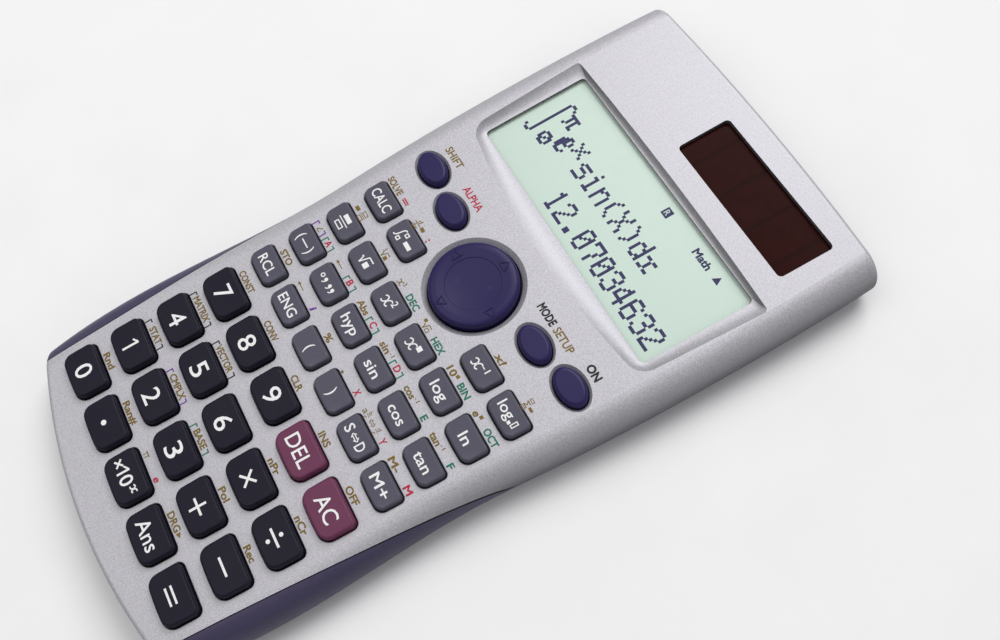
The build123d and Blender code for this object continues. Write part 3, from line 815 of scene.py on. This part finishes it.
ADVANCE = 6  # dots from one letter to the next
for place, letter in enumerate("12.07034632"):
    glyph(letter, 31 + place * ADVANCE, 0)
for across, up in INTEGRAL:
    dot(1 + across, 9 + up)
glyph("pi", 7, 20)
glyph("small_0", 7, 10)
glyph("e", 13, 13)
glyph("small_x", 19, 17)
for place, letter in enumerate("sin(X)dx"):
    glyph(letter, 26 + place * ADVANCE, 13 - (letter == "x"))

STATUS_Y = 53.7  # middle of the row of status marks
STATUS_BOX_X = 5.9
dots.bar(STATUS_BOX_X, STATUS_Y, 1.9, 2.1)
dots.text("Math", 18.2, STATUS_Y - 0.8, 1.6, 5.0, 0, 0.035)
dots.slab([(22.6, STATUS_Y - 0.8), (24.4, STATUS_Y - 0.8), (23.5, STATUS_Y + 0.9)])
dots.finish()
letter_on_box = Print("display_letter", "pale", lcd_high[2] + 2 * INK_THICKNESS, "root")
letter_on_box.text("R", STATUS_BOX_X, STATUS_Y - 0.65, 1.3, 1.0, 0, 0.02)
letter_on_box.finish()

# ------------------------------------------------------------------ raised arrows on the pad
pad_low, pad_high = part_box("rocker_pad")
pad_middle = Vector(((pad_low[0] + pad_high[0]) / 2, (pad_low[1] + pad_high[1]) / 2, 0))
ARROW_INNER, ARROW_OUTER, ARROW_HALF, ARROW_WIRE = 6.7 * MM, 8.5 * MM, 1.1 * MM, 0.19 * MM
PAD_CREST, PAD_EDGE = 7.6 * MM, 9.4 * MM  # radii of the pad's highest ring and of its rim
PAD_DISH_SLOPE, PAD_RIM_DROP = 0.118, 1.1 * MM


def pad_surface(radius):
    """Height of the pad's top at a distance from its middle: a dish inside a rounded rim."""
    if radius <= PAD_CREST:
        return pad_high[2] - (PAD_CREST - radius) * PAD_DISH_SLOPE
    share = (radius - PAD_CREST) / (PAD_EDGE - PAD_CREST)
    return pad_high[2] - PAD_RIM_DROP * (1 - math.sqrt(max(0.0, 1 - share**2)))


def pad_arrows():
    """Four outlined arrows of thin raised wire that follow the pad's top."""
    curve = bpy.data.curves.new("pad_arrows", "CURVE")
    curve.dimensions = "3D"
    curve.bevel_depth = ARROW_WIRE
    curve.bevel_resolution = 3
    steps = 6
    for quarter in range(4):
        turn = Matrix.Rotation(quarter * math.pi / 2, 3, "Z")
        corners = [(-ARROW_HALF, ARROW_INNER), (ARROW_HALF, ARROW_INNER), (0.0, ARROW_OUTER)]
        spline = curve.splines.new("POLY")
        spline.points.add(3 * steps - 1)
        for side in range(3):
            (x0, y0), (x1, y1) = corners[side], corners[(side + 1) % 3]
            for step in range(steps):
                share = step / steps
                x, y = x0 + share * (x1 - x0), y0 + share * (y1 - y0)
                place = pad_middle + turn @ Vector((x, y, 0))
                height = pad_surface(math.hypot(x, y))
                spline.points[side * steps + step].co = (place.x, place.y, height, 1.0)
        spline.use_cyclic_u = True
    curve.materials.append(by_slot["oval_key"])
    piece = bpy.data.objects.new("pad_arrows", curve)
    bpy.context.scene.collection.objects.link(piece)
    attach(piece, body_of["rocker_pad"])


pad_arrows()

# ------------------------------------------------------------------ floor, light and camera


def pale_floor():
    below = -0.05 * MM
    bpy.ops.mesh.primitive_grid_add(x_subdivisions=8, y_subdivisions=8, size=4.0, location=(0, 0, below))
    floor = bpy.context.object
    floor.name = "floor"
    material, tree, shader = new_material("floor_paper")
    tone = mapped(tree, noise(tree, 40.0), 0.0, 1.0)
    surface = blended(tree, tone, shade(COLOURS["floor"], 0.97), COLOURS["floor"])
    tree.links.new(surface, shader.inputs["Base Color"])
    shader.inputs["Roughness"].default_value = 0.9
    floor.data.materials.append(material)


def area_light(name, place, aim, size, power):
    data = bpy.data.lights.new(name, "AREA")
    data.size = size
    data.energy = power
    light = bpy.data.objects.new(name, data)
    bpy.context.scene.collection.objects.link(light)
    light.location = place
    light.rotation_euler = (Vector(aim) - Vector(place)).to_track_quat("-Z", "Y").to_euler()


pale_floor()
area_light("key_light", (-0.7, 1.1, 1.4), (0, 0, 0), 1.1, 21.5)
area_light("overhead_light", (-0.35, -0.3, 1.1), (0, 0, 0), 0.8, 3.0)
world = bpy.data.worlds.new("studio")
world.use_nodes = True
world.node_tree.nodes["Background"].inputs["Color"].default_value = (1.0, 1.0, 1.0, 1.0)
world.node_tree.nodes["Background"].inputs["Strength"].default_value = 0.4
bpy.context.scene.world = world

TILT = math.radians(21.7)  # how far the view leans from straight down, towards -X
TURN = math.radians(29.25)  # how far the picture is turned about the view
EYE = Vector((74.4, -5.2, 174.3)) * MM
ahead = Vector((-math.sin(TILT), 0, -math.cos(TILT)))
across = Vector((math.cos(TILT), 0, -math.sin(TILT)))
along = Vector((0, 1, 0))
right_hand = along * math.cos(TURN) + across * math.sin(TURN)
upward = along * math.sin(TURN) - across * math.cos(TURN)
camera_data = bpy.data.cameras.new("camera")
camera_data.sensor_width = 36.0
camera_data.lens = 31.93
camera_data.shift_x = 0.081
camera_data.shift_y = 0.045
camera_data.clip_start = 0.005
camera = bpy.data.objects.new("camera", camera_data)
bpy.context.scene.collection.objects.link(camera)
camera.matrix_world = Matrix.Translation(EYE) @ Matrix((right_hand, upward, -ahead)).transposed().to_4x4()
bpy.context.scene.camera = camera
bpy.context.scene.view_settings.view_transform = "Standard"
